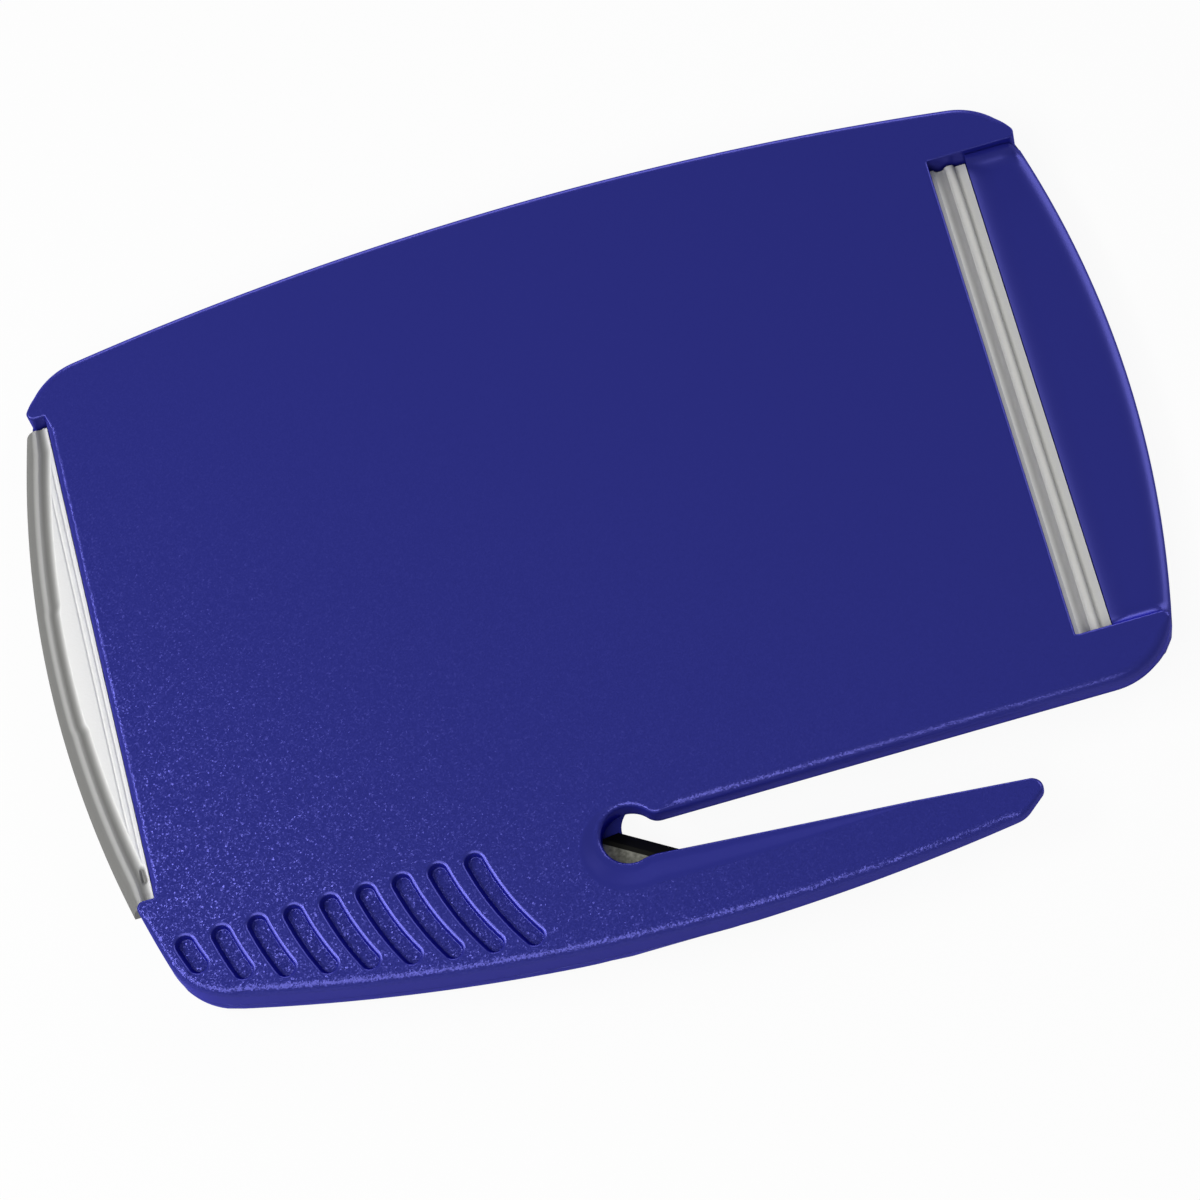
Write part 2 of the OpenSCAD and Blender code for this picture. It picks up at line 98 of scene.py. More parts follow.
eye = np.array([-3.85, -32.7])
eye_radius = 2.65
eye_blend = 4.0
slot_blend = 1.6
slot_width = 3.3
slot_flare = 5.4
arm_length = 37.7
tip_radius = 1
tip_slant = 40
tip_thickness = 1.1
heel_radius = 2.5
root_x = 5.45
relief_z = 3.5
relief_inset = 0.48


def unit(degrees):
    """Unit vector at an angle, or one row for each of several angles."""
    a = np.radians(degrees)
    return np.stack([np.cos(a), np.sin(a)], axis=-1)


def heading(vector):
    """Angle of a vector in degrees, from -180 to 180."""
    return math.degrees(math.atan2(vector[1], vector[0]))


def circles_meet(a, ra, b, rb):
    """Crossing of two circles that lies on the left of the way from centre a to centre b."""
    way = b - a
    distance = np.hypot(*way)
    along = (distance**2 + ra**2 - rb**2) / (2 * distance)
    u = way / distance
    return a + along * u + math.sqrt(ra**2 - along**2) * np.array([-u[1], u[0]])


def outline(arcs, step, fine=0.02):
    """Points, outward normals and arc numbers along a closed outline.

    Each arc is (centre, radius, first angle, last angle), run anticlockwise. A hollow arc has a
    negative radius. The straight stretch before an arc belongs to it, and has close points at its ends.
    An arc has at least 4 steps, and more where they would be wider than about 6 degrees or the step.
    """
    points, normals, numbers = [], [], []
    ends = [c + r * unit(b) for c, r, a, b in arcs]
    for k, (centre, radius, a0, a1) in enumerate(arcs):
        start = centre + radius * unit(a0)
        gap = np.hypot(*(start - ends[k - 1]))
        if gap > 4 * fine:
            count = max(2, int(gap / step))
            t = np.concatenate([[fine / gap], np.arange(1, count) / count, [1 - fine / gap]])
            points.append(ends[k - 1] + t[:, None] * (start - ends[k - 1]))
            normals.append(np.tile(unit(a0), (len(t), 1)))
            numbers.append(np.full(len(t), k - 0.5))
        turn = abs(a1 - a0)
        count = max(4, int(turn / 6), int(abs(radius) * math.radians(turn) / step))
        angles = np.linspace(a0, a1, count + 1)
        if gap <= 4 * fine:
            angles = angles[1:]
        points.append(centre + radius * unit(angles))
        normals.append(unit(angles))
        numbers.append(np.full(len(angles), float(k)))
    return np.concatenate(points), np.concatenate(normals), np.concatenate(numbers)


def spacing(points):
    """Distances along a closed outline between each pair of its points, and the length at each point."""
    steps = np.hypot(*(np.roll(points, -1, axis=0) - points).T)
    place = np.concatenate([[0], np.cumsum(steps)[:-1]])
    apart = np.abs(place[:, None] - place[None, :])
    return np.minimum(apart, steps.sum() - apart), (steps + np.roll(steps, 1)) / 2


def ray_reach(points, directions, centre, radius):
    """Distance from points along unit directions to a circle round them, and 0 for points outside it.

    It is the positive root of the square equation for where the ray crosses the circle.
    """
    m = points - centre
    b = (m * directions).sum(axis=1)
    inside = radius**2 - (m * m).sum(axis=1)
    return np.where(inside > 0, -b + np.sqrt(np.maximum(b * b + inside, 0)), 0)


def lay_rings(line, normals, rings):
    """Rings of points, each a line moved in along its normals and set at a height, and their grain shares.

    A ring's inset, height and share are each one number, or one for every point of the line.
    """
    count = len(line)
    points, shares = [], []
    for inset, height, share in rings:
        moved = line - normals * np.broadcast_to(inset, count)[:, None]
        points.append(np.column_stack([moved, np.broadcast_to(height, count)]))
        shares.append(np.broadcast_to(share, count))
    return points, shares


def ring_faces(rings, count, first=0):
    """Quads between rings of points that close on themselves, numbered ring by ring from first."""
    k, i = np.meshgrid(np.arange(rings - 1), np.arange(count), indexing="ij")
    j = (i + 1) % count
    quads = np.stack([k * count + i, k * count + j, (k + 1) * count + j, (k + 1) * count + i], axis=-1)
    return (quads.reshape(-1, 4) + first).tolist()


def make_piece(name, points, faces, crease=40):
    """Mesh object from points in millimetres, shaded smooth but for edges sharper than the crease angle."""
    mesh = bpy.data.meshes.new(name)
    mesh.from_pydata((np.asarray(points) * MM).tolist(), [], faces)
    mesh.validate()
    mesh.shade_smooth()
    mesh.set_sharp_from_angle(angle=math.radians(crease))
    piece = bpy.data.objects.new(name, mesh)
    bpy.context.scene.collection.objects.link(piece)
    return piece


# Outline of the shell: ends, corners, the two notches of the roof, grip, arm, eye and slot
thumb_c = np.array([end_x - end_radius, 0])
front_c = -thumb_c
back_c = np.array([0, back_y - back_radius])
grip_c = np.array([grip_crown_x, grip_y + grip_radius])
hold_c = np.array([grip_crown_x, grip_y + hold_radius])
right_corner = circles_meet(thumb_c, end_radius - corner_radius, back_c, back_radius - corner_radius)
left_corner = right_corner * [-1, 1]
front_corner_y = slot_y + corner_radius
front_corner_x = thumb_c[0] + math.sqrt((end_radius - corner_radius) ** 2 - front_corner_y**2)
front_corner = np.array([front_corner_x, front_corner_y])
grip_left = circles_meet(front_c, end_radius - grip_corner, hold_c, hold_radius - grip_corner)
ear_y = notch_half + ear_radius
ear_inside = corner_radius - ear_radius
ear_low = np.array([front_corner_x + math.sqrt(ear_inside**2 - (ear_y + front_corner_y) ** 2), -ear_y])
ear_high = np.array([right_corner[0] + math.sqrt(ear_inside**2 - (ear_y - right_corner[1]) ** 2), ear_y])
ear_front = np.array([front_c[0] - math.sqrt((end_radius - ear_radius) ** 2 - ear_y**2), -ear_y])
low_angle = heading(ear_low - front_corner)
high_angle = heading(ear_high - right_corner)
front_angle = 360 + heading(ear_front - front_c)
back_right = heading(right_corner - back_c)
left_low = 360 + heading(grip_left - front_c)
grip_start = 360 + heading(grip_left - hold_c)

arm_normal = 90 - slot_flare
arm_edge_y = slot_y - slot_width
tip_x = eye[0] + arm_length - tip_radius


def arm_edge(x):
    """Height of the arm's edge along the slot, a straight line that falls towards the tip."""
    return arm_edge_y - math.tan(math.radians(slot_flare)) * (x - eye[0])


tip_c = np.array([tip_x, arm_edge(tip_x)]) - tip_radius * unit(arm_normal)
slant_normal = tip_slant - 90
heel_start = tip_c + (tip_radius - heel_radius) * unit(slant_normal)
heel_way = -unit(tip_slant)
heel_reach = ray_reach(heel_start[None], heel_way[None], grip_c, grip_radius - heel_radius)[0]
heel_c = heel_start + heel_way * heel_reach
heel_angle = 360 + heading(heel_c - grip_c)
root_angle = 270 + math.degrees(math.asin((root_x - grip_c[0]) / grip_radius))
edge_way = unit(-slot_flare)
edge_offset = np.array([eye[0], arm_edge_y]) - eye_blend * unit(arm_normal) - eye
edge_shift = -edge_offset @ edge_way + math.sqrt(
    (edge_offset @ edge_way) ** 2 - edge_offset @ edge_offset + (eye_radius + eye_blend) ** 2)
arm_blend_c = eye + edge_offset + edge_shift * edge_way
slot_blend_y = slot_y + slot_blend
slot_blend_x = eye[0] + math.sqrt((eye_radius + slot_blend) ** 2 - (slot_blend_y - eye[1]) ** 2)
slot_blend_c = np.array([slot_blend_x, slot_blend_y])
eye_first = heading(eye - arm_blend_c)
eye_last = heading(eye - slot_blend_c)
hollow_back = roof_back + hollow_radius
hollow_front = roof_front - hollow_radius
hollow_y = notch_half - hollow_radius

# Each stretch: its arc and how far its upper edge is rounded
stretches = [
    ((front_corner, corner_radius, -90, low_angle), 1.0),
    ((ear_low, ear_radius, low_angle, 90), 0.4),
    ((np.array([hollow_back, -hollow_y]), -hollow_radius, 90, 0), 0.4),
    ((np.array([hollow_back, hollow_y]), -hollow_radius, 0, -90), 0.25),
    ((ear_high, ear_radius, -90, high_angle), 0.15),
    ((right_corner, corner_radius, high_angle, back_right), 0.9),
    ((back_c, back_radius, back_right, 180 - back_right), 0.9),
    ((left_corner, corner_radius, 180 - back_right, 180 - high_angle), 0.9),
    ((ear_high * [-1, 1], ear_radius, 180 - high_angle, 270), 0.25),
    ((np.array([hollow_front, hollow_y]), -hollow_radius, 270, 180), 0.25),
    ((np.array([hollow_front, -hollow_y]), -hollow_radius, 180, 90), 0.8),
    ((ear_front, ear_radius, 90, front_angle), 0.25),
    ((front_c, end_radius, front_angle, left_low), 0.75),
    ((grip_left, grip_corner, left_low, grip_start), 0.75),
    ((hold_c, hold_radius, grip_start, root_angle), 1.0),
    ((grip_c, grip_radius, root_angle, heel_angle), 1.0),
    ((heel_c, heel_radius, heel_angle, 360 + slant_normal), 0.6),
    ((tip_c, tip_radius, slant_normal, arm_normal), 0.45),
    ((arm_blend_c, eye_blend, arm_normal, eye_first), 0.3),
    ((eye, -eye_radius, eye_first, eye_last), 0.45),
    ((slot_blend_c, slot_blend, eye_last, -90), 0.4),
]

# Numbers of the stretches that are named below. From one to the next, the rounding changes by a slope.
roof_end_low, roof_end_high, roof_start_high, roof_start_low = 2, 3, 9, 10
ear_front_arc, grip_root, arm_outer, heel = 11, 14, 15, 16
tip_arc, eye_arc, slot_corner = 17, 19, 20
edge_step = 0.35
rounding_slope = 0.35
edge, edge_normal, stretch = outline([arc for arc, rounding in stretches], edge_step)
rounding = np.array([rounding for arc, rounding in stretches])[np.ceil(stretch).astype(int)]
apart, share = spacing(edge)
rounding = (rounding[None, :] + rounding_slope * apart).min(axis=1)

# The scoop: a wide circle's arc along the arm and a rim circle round the eye give its crease.
# A bell-shaped mean along the outline joins the two.
scoop_radius = 300
scoop_width = 3.0
scoop_depth = 0.75
scoop_x = eye[0] + 5
scoop_c = np.array([scoop_x, arm_edge(scoop_x) - scoop_width + scoop_radius])
eye_rim = 0.45
rim_crease = scoop_c[1] - math.sqrt(scoop_radius**2 - (scoop_x - eye[0]) ** 2)
rim_radius = (eye[1] + eye_radius + eye_rim - rim_crease) / 2
rim_c = np.array([eye[0] - eye_rim, rim_crease + rim_radius])
on_scoop = (stretch > tip_arc) & (stretch < slot_corner)
along_arm = on_scoop & (edge[:, 0] > eye[0]) & (stretch <= eye_arc)
reach = np.where(along_arm, ray_reach(edge, -edge_normal, scoop_c, scoop_radius), 0)
reach = np.where(on_scoop, np.maximum(reach, ray_reach(edge, -edge_normal, rim_c, rim_radius)), 0)
upper_eye = on_scoop & (edge[:, 1] > eye[1]) & (edge[:, 0] > eye[0])
bell_width = 0.7
bell = np.exp(-((apart / bell_width) ** 2)) * share
reach = bell @ np.where(upper_eye, 0, reach) / bell.sum(axis=1)
depth = scoop_depth / scoop_width * np.maximum(reach - rounding, 0)
least_band = 0.1
band = np.maximum(reach - rounding, least_band)

# Where the walls end below: at the parting plane, at the roof's lower face, or under the rising arm.
# They turn in a little there, which shows as the seam between the shells.
seam = 0.1
arm_rise = (top - tip_thickness - parting) / (eye[0] + arm_length - root_x)
over_pocket = (stretch == roof_end_high - 0.5) | (stretch == roof_start_low - 0.5)
foot = np.where(over_pocket, roof_z, parting)
on_arm = (stretch >= arm_outer) & (edge[:, 0] > root_x)
foot = np.where(on_arm & (stretch < eye_arc), parting + arm_rise * (edge[:, 0] - root_x), foot)
relief_end = -25
relief_run = 30


def relief_share(degrees):
    """Share of the slot's relief that is left at an angle on the front corner, which it runs out on."""
    return np.clip((relief_end - degrees) / relief_run, 0, 1)


in_slot = (stretch >= eye_arc) | (stretch == -0.5)
corner_angle = np.degrees(np.arctan2(edge_normal[:, 1], edge_normal[:, 0]))
relief = np.where(in_slot, 1, np.where(stretch == 0, relief_share(corner_angle), 0))
foot_inset = seam + (relief_inset - seam) * relief
foot_top = foot + seam + (relief_z - parting - seam) * relief

# Rings from the foot of the wall up over the rounded edge and the scoop to the flat face, where a narrow
# margin keeps the shading flat. Each ring has its share of the mould's grain: none on the walls, hardly
# any in the scoop, all of it on the flat face.
held_grain, plain_grain, scoop_grain = 0.8, 0.7, 0.05
least_scoop = 0.02
crease_ease = 0.22
margin = 0.05
held = (stretch > ear_front_arc) & (stretch < heel)
edge_grain = np.where(held, held_grain, plain_grain)
scooped = depth > least_scoop
rim_top = top - depth
rings = [(foot_inset, foot, 0), (0, foot_top, 0)]
for angle in np.radians(np.linspace(0, 90, 9)):
    rings.append((
        rounding * (1 - math.cos(angle)),
        rim_top - rounding * (1 - math.sin(angle)),
        edge_grain * math.sin(angle)))
for v in np.linspace(0, 1, 11)[1:]:
    rise = np.select(
        [v < crease_ease, v < 1 - crease_ease],
        [v * v / (2 * crease_ease), v - crease_ease / 2],
        1 - crease_ease - (1 - v) ** 2 / (2 * crease_ease)) / (1 - crease_ease)
    rings.append((
        rounding + band * v,
        rim_top + depth * rise,
        np.where(scooped, scoop_grain, edge_grain + (1 - edge_grain) * v)))
rings.append((rounding + band + margin, top, 1))
shell_points, shell_grain = lay_rings(edge, edge_normal, rings)
shell_faces = ring_faces(len(rings), len(edge))

# Finger grooves: curved slots, moved along by the pitch, that end short of the grip's edge and corner.
# On the side that catches the light, a groove's rim is a slope above a steep wall. Across from that it is
# round, above a leaning wall. Each pair of sizes is for the side across and the light side.
groove_count = 9
groove_pitch = 3.46
groove_half = 0.875
groove_depth = 0.9
groove_radius = 28
groove_lean = 13.4
last_lean = 17.5
groove_start = np.array([eye[0] - 14.4, slot_y + 0.3])
groove_step = 0.2
groove_land = 2.4
corner_land = 2.05
light_side = unit(35)
slope_angle = math.radians(22)
slope_ease = 0.02
slope_widths = (0.06, 0.22)
rim_rounds = (0.3, 0.14)
wall_leans = (0.25, 0.03)
floor_rounds = (0.25, 0.1)
groove_floor = top - groove_depth
corner_side = grip_corner - corner_land
corner_x = grip_left[0] + corner_side * unit(grip_start)[0]
rim_turns = np.linspace(slope_angle, math.pi / 2, 6)
floor_turns = np.linspace(0, math.pi / 2, 6)
flat_loops = [shell_points[-1]]
flat_numbers = [(len(rings) - 1) * len(edge) + np.arange(len(edge))]
total = len(rings) * len(edge)
for number in range(groove_count):
    lean = last_lean if number == groove_count - 1 else groove_lean
    centre = groove_start - [number * groove_pitch, 0] + groove_radius * unit(lean)
    end_point = circles_meet(centre, groove_radius, hold_c, hold_radius - groove_land)
    if end_point[0] < corner_x:
        end_point = circles_meet(centre, groove_radius, grip_left, corner_side)
    first = 180 + lean
    last = 360 + heading(end_point - centre)
    loop, loop_normal = outline([
        (centre, groove_radius + groove_half, first, last),
        (centre + groove_radius * unit(last), groove_half, last, last + 180),
        (centre, groove_half - groove_radius, last + 180, first + 180),
        (centre + groove_radius * unit(first), groove_half, first - 180, first),
    ], groove_step)[:2]
    light = (1 + loop_normal @ light_side) / 2
    slope_width, rim_round, wall_lean, floor_round = (
        np.interp(light, (0, 1), sizes) for sizes in (slope_widths, rim_rounds, wall_leans, floor_rounds))
    slope_in = -rim_round * (1 - math.sin(slope_angle)) - slope_width
    slope_foot = top - slope_width * math.tan(slope_angle)
    profile = [
        (slope_in - slope_ease - margin, top, 1),
        (slope_in - slope_ease, top, 0),
        (slope_in + slope_ease, top - slope_ease * math.tan(slope_angle), 0),
    ]
    for turn in rim_turns:
        drop = rim_round * (math.cos(slope_angle) - math.cos(turn))
        profile.append((-rim_round * (1 - math.sin(turn)), slope_foot - drop, 0))
    for turn in floor_turns:
        rise = floor_round * (1 - math.sin(turn))
        profile.append((wall_lean + floor_round * (1 - math.cos(turn)), groove_floor + rise, 1))
    profile.append((wall_lean + floor_round + margin, groove_floor, 1))
    loops, loop_grain = lay_rings(loop, loop_normal, profile)
    shell_points += loops
    shell_grain += loop_grain
    count = len(loop)
    shell_faces += ring_faces(len(loops), count, total)
    shell_faces.append((total + (len(loops) - 1) * count + np.arange(count)).tolist())
    flat_loops.append(loops[0])
    flat_numbers.append(total + np.arange(count))
    total += len(loops) * count

flat_number = np.concatenate(flat_numbers)
flat_triangles = np.array(tessellate_polygon([loop.tolist() for loop in flat_loops]))
shell_faces += flat_number[flat_triangles].tolist()

# Underside: a strip at the back, a strip at the front, the arm, and the pocket's walls and ceiling
along = np.arange(len(edge))
low_end = along[stretch == roof_end_low][-1]
high_end = along[stretch == roof_end_high][0]
high_start = along[stretch == roof_start_high][-1]
low_start = along[stretch == roof_start_low][0]
arm_first = along[stretch == grip_root][-1]
arm_last = along[on_arm][-1] + 1
end_edge = along[low_end + 1:high_end]
start_edge = along[high_start + 1:low_start]
shell_faces += [face[::-1].tolist() for face in (
    along[high_end:high_start + 1],
    np.concatenate([along[low_start:arm_first + 1], along[arm_last:], along[:low_end + 1]]),
    along[arm_first:arm_last + 1],
    np.concatenate([end_edge, start_edge]),
    np.array([low_start, low_end, end_edge[0], start_edge[-1]])[::-1],
    np.array([high_end, high_start, start_edge[0], end_edge[-1]])[::-1])]
blue = make_piece("upper_shell", np.concatenate(shell_points), shell_faces)
grain_share = blue.data.attributes.new("grain", "FLOAT", "POINT")
grain_share.data.foreach_set("value", np.concatenate(shell_grain))
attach(blue, "body")
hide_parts("top_shell")


def srgb(colour):
    """Linear colour from a six-digit sRGB hex value."""
    channels = [int(colour[i:i + 2], 16) / 255 for i in (0, 2, 4)]
    return [c / 12.92 if c <= 0.04045 else ((c + 0.055) / 1.055) ** 2.4 for c in channels] + [1]


def new_finish(name, settings):
    """New material with its node tree and shader. The settings hold all over the surface."""
    material = bpy.data.materials.new(name)
    material.use_nodes = True
    shader = material.node_tree.nodes["Principled BSDF"]
    for key, value in settings.items():
        shader.inputs[key].default_value = value
    return material, material.node_tree, shader


def add(tree, kind, settings=None, links=None):
    """Adds a node. Settings are attributes, or inputs by name or number. Links join inputs to sockets."""
    node = tree.nodes.new(kind)
    for key, value in (settings or {}).items():
        if isinstance(key, str) and hasattr(node, key):
            setattr(node, key, value)
        else:
            node.inputs[key].default_value = value
    for key, socket in (links or {}).items():
        tree.links.new(socket, node.inputs[key])
    return node


# Moulded ABS from a spark-eroded mould: deep blue, with a grain of small facets that glint where they
# face a light and grow stronger towards the grip. The tinted clear skin keeps slanting reflections blue.
# The real grain is finer than a pixel, so its cells are drawn coarser, 0.13 mm wide.
grain_cell = 0.13
grip_way = (-0.5, -0.87, 0)
fine_end, coarse_end = -15, 45
fine_grain, coarse_grain = 0.06, 0.5
abs_blue, tree, shader = new_finish("moulded_blue_abs", {
    "Base Color": srgb("2d316c"), "Roughness": 0.28, "IOR": 1.54,
    "Specular IOR Level": 1.0, "Specular Tint": srgb("b8b8ff"),
    "Coat Weight": 1, "Coat Roughness": 0.2, "Coat IOR": 1.02, "Coat Tint": srgb("cbcbff")})
place = add(tree, "ShaderNodeTexCoord")
grain = add(tree, "ShaderNodeTexVoronoi", {"Scale": 1 / (grain_cell * MM)},
            {"Vector": place.outputs["Object"]})
to_grip = add(tree, "ShaderNodeVectorMath", {"operation": "DOT_PRODUCT", 1: grip_way},
              {0: place.outputs["Object"]})
coarse = add(tree, "ShaderNodeMapRange", {
    "From Min": fine_end * MM, "From Max": coarse_end * MM,
    "To Min": fine_grain, "To Max": coarse_grain},
    {"Value": to_grip.outputs["Value"]})
on_flat = add(tree, "ShaderNodeAttribute", {"attribute_name": "grain"})
strength = add(tree, "ShaderNodeMath", {"operation": "MULTIPLY"},
               {0: coarse.outputs[0], 1: on_flat.outputs["Fac"]})
centred = add(tree, "ShaderNodeVectorMath", {"operation": "SUBTRACT", 1: (0.5, 0.5, 0.5)},
              {0: grain.outputs["Color"]})
facet = add(tree, "ShaderNodeVectorMath", {"operation": "SCALE"},
            {0: centred.outputs[0], "Scale": strength.outputs[0]})
surface = add(tree, "ShaderNodeNewGeometry")
tilted = add(tree, "ShaderNodeVectorMath", {"operation": "ADD"},
             {0: surface.outputs["Normal"], 1: facet.outputs[0]})
evened = add(tree, "ShaderNodeVectorMath", {"operation": "NORMALIZE"}, {0: tilted.outputs[0]})
tree.links.new(evened.outputs[0], shader.inputs["Normal"])
blue.data.materials.append(abs_blue)


# Lower shell: the same blue ABS, moulded with the floor under the tray, the thumb recess and the blade's
# seat, and welded to the upper shell. It is the CAD solid with its points merged, so that rounded edges
# shade smoothly. Its walls are pulled in to the upper shell's edge, and the recess gets its dish.
def pull_in(points, centre, longest, chosen):
    """Moves chosen points along their spokes from a centre, so that none lies farther off than longest."""
    spoke = points - centre
    length = np.hypot(*spoke.T)
    shrink = np.where(chosen, longest / np.maximum(length, longest), 1)
    return centre + spoke * shrink[:, None]


def bearing(points, centre):
    """Angles in degrees, from 0 to 360, at which points are seen from a centre."""
    spoke = points - centre
    return np.degrees(np.arctan2(spoke[:, 1], spoke[:, 0])) % 360


merge_distance = 0.002
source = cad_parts["bottom_shell"]
lower_mesh = source.data.copy()
lower_mesh.transform(source.matrix_world)
merged = bmesh.new()
merged.from_mesh(lower_mesh)
bmesh.ops.remove_doubles(merged, verts=merged.verts, dist=merge_distance * MM)
merged.to_mesh(lower_mesh)
merged.free()
corners = np.empty(3 * len(lower_mesh.vertices))
lower_mesh.vertices.foreach_get("co", corners)
corners = corners.reshape(-1, 3) / MM
plan, z = corners[:, :2], corners[:, 2]

# The raised floor of the recess goes down to the parting plane, where the dish takes its place
recess_front = 44.3
dish_half = notch_half - seam
in_recess = (plan[:, 0] > recess_front - seam) & (np.abs(plan[:, 1]) < dish_half + margin)
z = np.where(in_recess, np.minimum(z, parting), z)

# The slot's relief runs out round the front corner
corner_slack = 0.3
spoke = plan - front_corner
spoke_angle = np.degrees(np.arctan2(spoke[:, 1], np.maximum(spoke[:, 0], 0)))
undercut = relief_inset * (relief_z - z) / (relief_z - parting)
at_corner = (spoke[:, 0] > -corner_slack) & (spoke[:, 1] < 0) & (z < relief_z)
plan = pull_in(plan, front_corner, corner_radius - relief_share(spoke_angle) * undercut, at_corner)

# The grip's wall and corner follow the upper shell's, each point as far inside them as it was in the solid
solid_corner = 4.5
solid_c = circles_meet(front_c, end_radius - solid_corner, grip_c, grip_radius - solid_corner)
front_gap = end_radius - np.hypot(*(plan - front_c).T)
grip_gap = grip_radius - np.hypot(*(plan - grip_c).T)
solid_angle = bearing(plan, solid_c)
solid_low = 360 + heading(solid_c - front_c)
solid_high = 360 + heading(solid_c - grip_c)
in_corner = (solid_angle > solid_low) & (solid_angle < solid_high)
wall_gap = np.where(
    in_corner, solid_corner - np.hypot(*(plan - solid_c).T), np.minimum(front_gap, grip_gap))
wall_depth = 2.2
at_grip = (wall_gap < wall_depth) & (plan[:, 0] < root_x) & (plan[:, 1] < -notch_half)
plan = pull_in(plan, hold_c, hold_radius - wall_gap, at_grip & (bearing(plan, hold_c) > 180))
corner_angle = bearing(plan, grip_left)
in_corner = (corner_angle > left_low) & (corner_angle < grip_start)
plan = pull_in(plan, grip_left, grip_corner - wall_gap, at_grip & in_corner)

# Towards the arm's root the wall leans in below the parting plane
root_taper = 20
near_root = np.clip((plan[:, 0] - root_x + root_taper) / root_taper, 0, 1)
undercut = relief_inset * np.maximum(parting - z, 0) / (relief_z - parting)
by_root = (plan[:, 1] < grip_c[1]) & (plan[:, 0] < root_x + root_taper)
plan = pull_in(plan, grip_c, grip_radius - near_root * undercut, by_root)
lower_mesh.vertices.foreach_set("co", (np.column_stack([plan, z]) * MM).ravel())


def slab(x, y, upper, lower):
    """Points and faces of a solid between two heights over a grid: sides join its first and last lines."""
    rows, columns = x.shape
    points = np.concatenate([
        np.column_stack([x.ravel(), y.ravel(), upper.ravel()]),
        np.column_stack([x.ravel(), y.ravel(), lower.ravel()])])
    number = np.arange(rows * columns).reshape(rows, columns)
    cells = np.stack([number[:-1, :-1], number[1:, :-1], number[1:, 1:], number[:-1, 1:]], axis=-1)
    cells = cells.reshape(-1, 4)
    rim = np.concatenate([number[:, 0], number[-1, 1:], number[-2::-1, -1], number[0, -2:0:-1]])
    next_rim = np.roll(rim, -1)
    under = rows * columns
    sides = np.stack([rim, rim + under, next_rim + under, next_rim], axis=-1)
    return points, np.concatenate([cells, cells[:, ::-1] + under, sides])


def fade(value, low, high):
    """Smooth step from 0 at low to 1 at high: three squares of the share of the way, less two cubes."""
    t = np.clip((value - low) / (high - low), 0, 1)
    return t * t * (3 - 2 * t)


# Dish of the thumb recess, as a height over the plan: it rises to the bar and in a cove to each ear,
# and its outer rim is rounded off
dish_z = 3.45
ramp_width = 2.4
ramp_rise = 0.42
cove_width = 1.7
cove_rise = 1.4
rim_width = 2.2
even_share = 0.55
cove_radius = (cove_width**2 + cove_rise**2) / (2 * cove_rise)
cove_turn = np.linspace(0, math.asin(cove_width / cove_radius), 15)
cove_y = dish_half - cove_width + cove_radius * np.sin(cove_turn)
across = np.concatenate([-cove_y[::-1], np.linspace(-cove_y[0], cove_y[0], 81)[1:-1], cove_y])
even_u = np.linspace(0, even_share, 45)[:-1]
close_u = even_share + (1 - even_share) * np.sin(np.linspace(0, math.pi / 2, 45))
u, y = np.meshgrid(np.concatenate([even_u, close_u]), across, indexing="ij")
rim_x = thumb_c[0] + np.sqrt(end_radius**2 - y**2)
x = recess_front + u * (rim_x - recess_front)
inset = rim_x - x
rim_t = np.clip(1 - inset / rim_width, 0, 1)
ramp = ramp_rise * np.clip(1 - (x - recess_front) / ramp_width, 0, 1) ** 2
cove_d = np.clip(np.abs(y) - dish_half + cove_width, 0, cove_width)
cove = cove_radius - np.sqrt(cove_radius**2 - cove_d**2)
height = parting + (dish_z - parting) * np.sqrt(1 - rim_t**2)
height += np.hypot(ramp, cove) * fade(inset, 0, rim_width / 2)
points, faces = slab(x, y, height, np.full(x.shape, parting - seam))
dish_mesh = bpy.data.meshes.new("thumb_dish")
dish_mesh.from_pydata((points * MM).tolist(), [], faces.tolist())
merged = bmesh.new()
merged.from_mesh(lower_mesh)
merged.from_mesh(dish_mesh)
merged.to_mesh(lower_mesh)
merged.free()
bpy.data.meshes.remove(dish_mesh)
lower_crease = 28
lower_mesh.shade_smooth()
lower_mesh.set_sharp_from_angle(angle=math.radians(lower_crease))
lower = bpy.data.objects.new("lower_shell", lower_mesh)
bpy.context.scene.collection.objects.link(lower)
even_shading = lower.modifiers.new("even_shading", "WEIGHTED_NORMAL")
even_shading.keep_sharp = True
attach(lower, "body")
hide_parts("bottom_shell")
lower_mesh.materials.clear()
lower_mesh.materials.append(abs_blue)

# Slitter blade: a flat of hardened steel with one ground edge, trapped between the shells by two pins.
# Ground steel: the bevel along the edge is painted nearly black, as painted shade for a face that turns
# away from the light, and the face is a dull grey, mottled in patches of about half a millimetre. A mix
# node's colours go by number.
colour_a, colour_b, colour_out = 6, 7, 2
blade_angle = 57.4
bevel_width = 0.85
bevel_blur = 0.02
patch_size = 0.5
dull_patch, bright_patch = 0.35, 0.65
blade_way = np.append(-unit(blade_angle), 0)
bevel_end = bevel_width + blade_way[:2] @ eye
steel, tree, shader = new_finish("ground_steel", {"Metallic": 1, "Roughness": 0.4})
place = add(tree, "ShaderNodeTexCoord")
across_edge = add(tree, "ShaderNodeVectorMath", {"operation": "DOT_PRODUCT", 1: blade_way},
                  {0: place.outputs["Object"]})
# Painted shade: a mask over the strip of the bevel along the edge
bevel_shade = add(tree, "ShaderNodeMapRange", {
    "From Min": (bevel_end - bevel_blur) * MM, "From Max": (bevel_end + bevel_blur) * MM},
    {"Value": across_edge.outputs["Value"]})
mottle = add(tree, "ShaderNodeTexNoise", {"Scale": 1 / (patch_size * MM), "Detail": 3},
             {"Vector": place.outputs["Object"]})
patch = add(tree, "ShaderNodeMapRange", {"From Min": dull_patch, "From Max": bright_patch},
            {"Value": mottle.outputs[0]})
